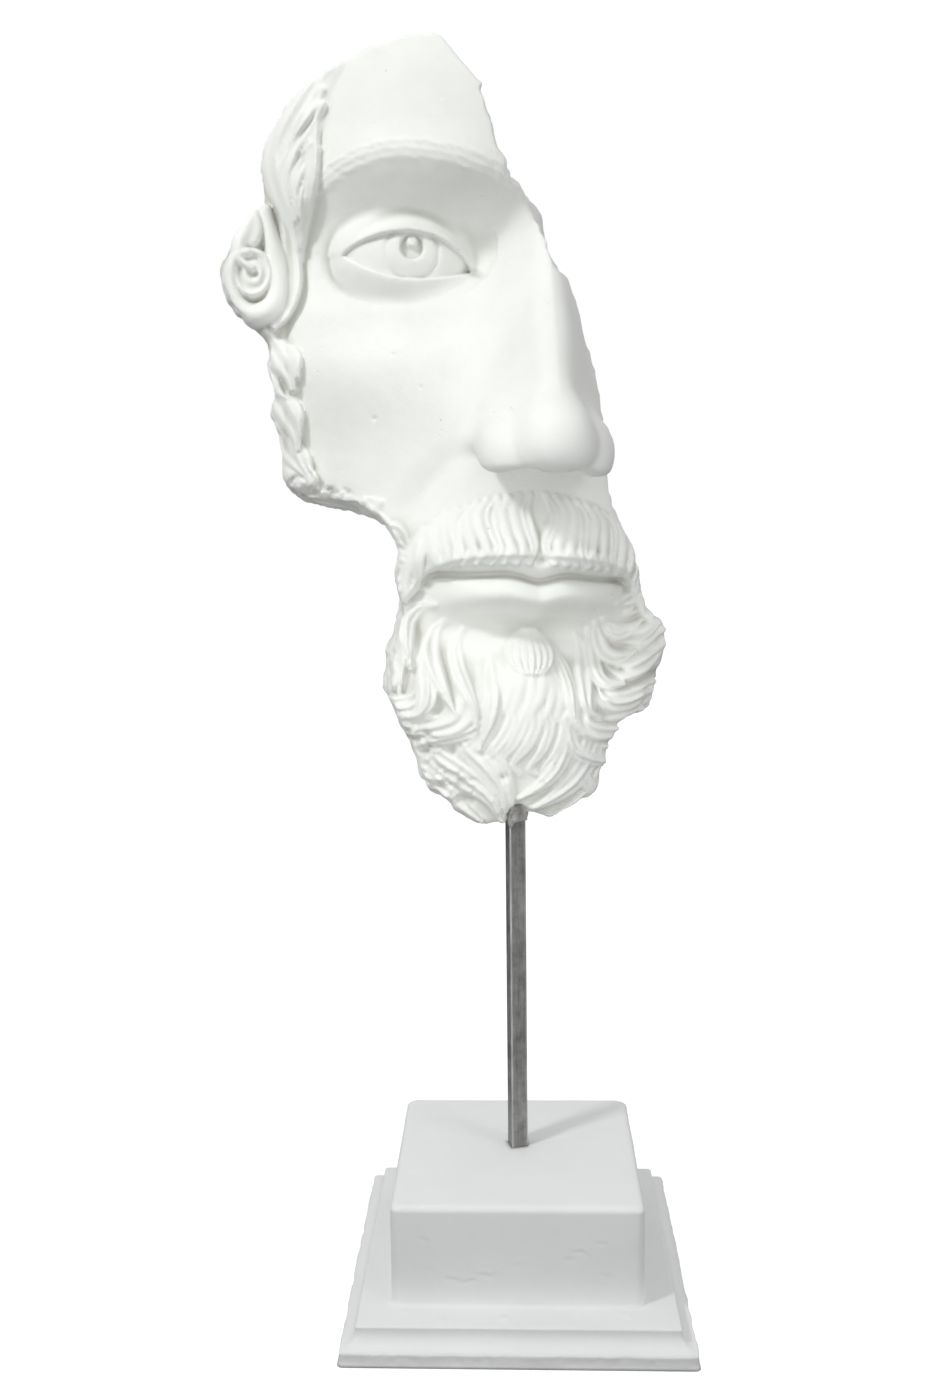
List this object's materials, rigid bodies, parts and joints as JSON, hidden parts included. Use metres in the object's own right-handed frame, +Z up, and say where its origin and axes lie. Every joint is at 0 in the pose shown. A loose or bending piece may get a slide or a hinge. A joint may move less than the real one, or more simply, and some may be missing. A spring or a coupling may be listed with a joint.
{
  "type": "bearded face fragment on a stand",
  "caption": "Broken fragment of a colossal bearded face in white plaster, carried by a square metal bar on a stepped plinth; stands on its underside as an ornament.",
  "frame": {"origin": "centre of the underside of the plinth, on the surface that it stands on", "axes": "+Z up along the bar, -Y towards the viewer whom the plinth faces, +X to that viewer's right"},
  "size_m": [0.2151, 0.1575, 0.5686],
  "materials": {
    "plaster": "matt white cast plaster",
    "bar_steel": "dark mill scale",
    "filler": "grey filler, set hard",
    "plinth_plaster": "smooth white cast plaster"
  },
  "bodies": {
    "root": {"face_fragment": "plaster", "rod": "bar_steel", "putty": "filler", "plinth": "plinth_plaster"}
  },
  "joints": []
}
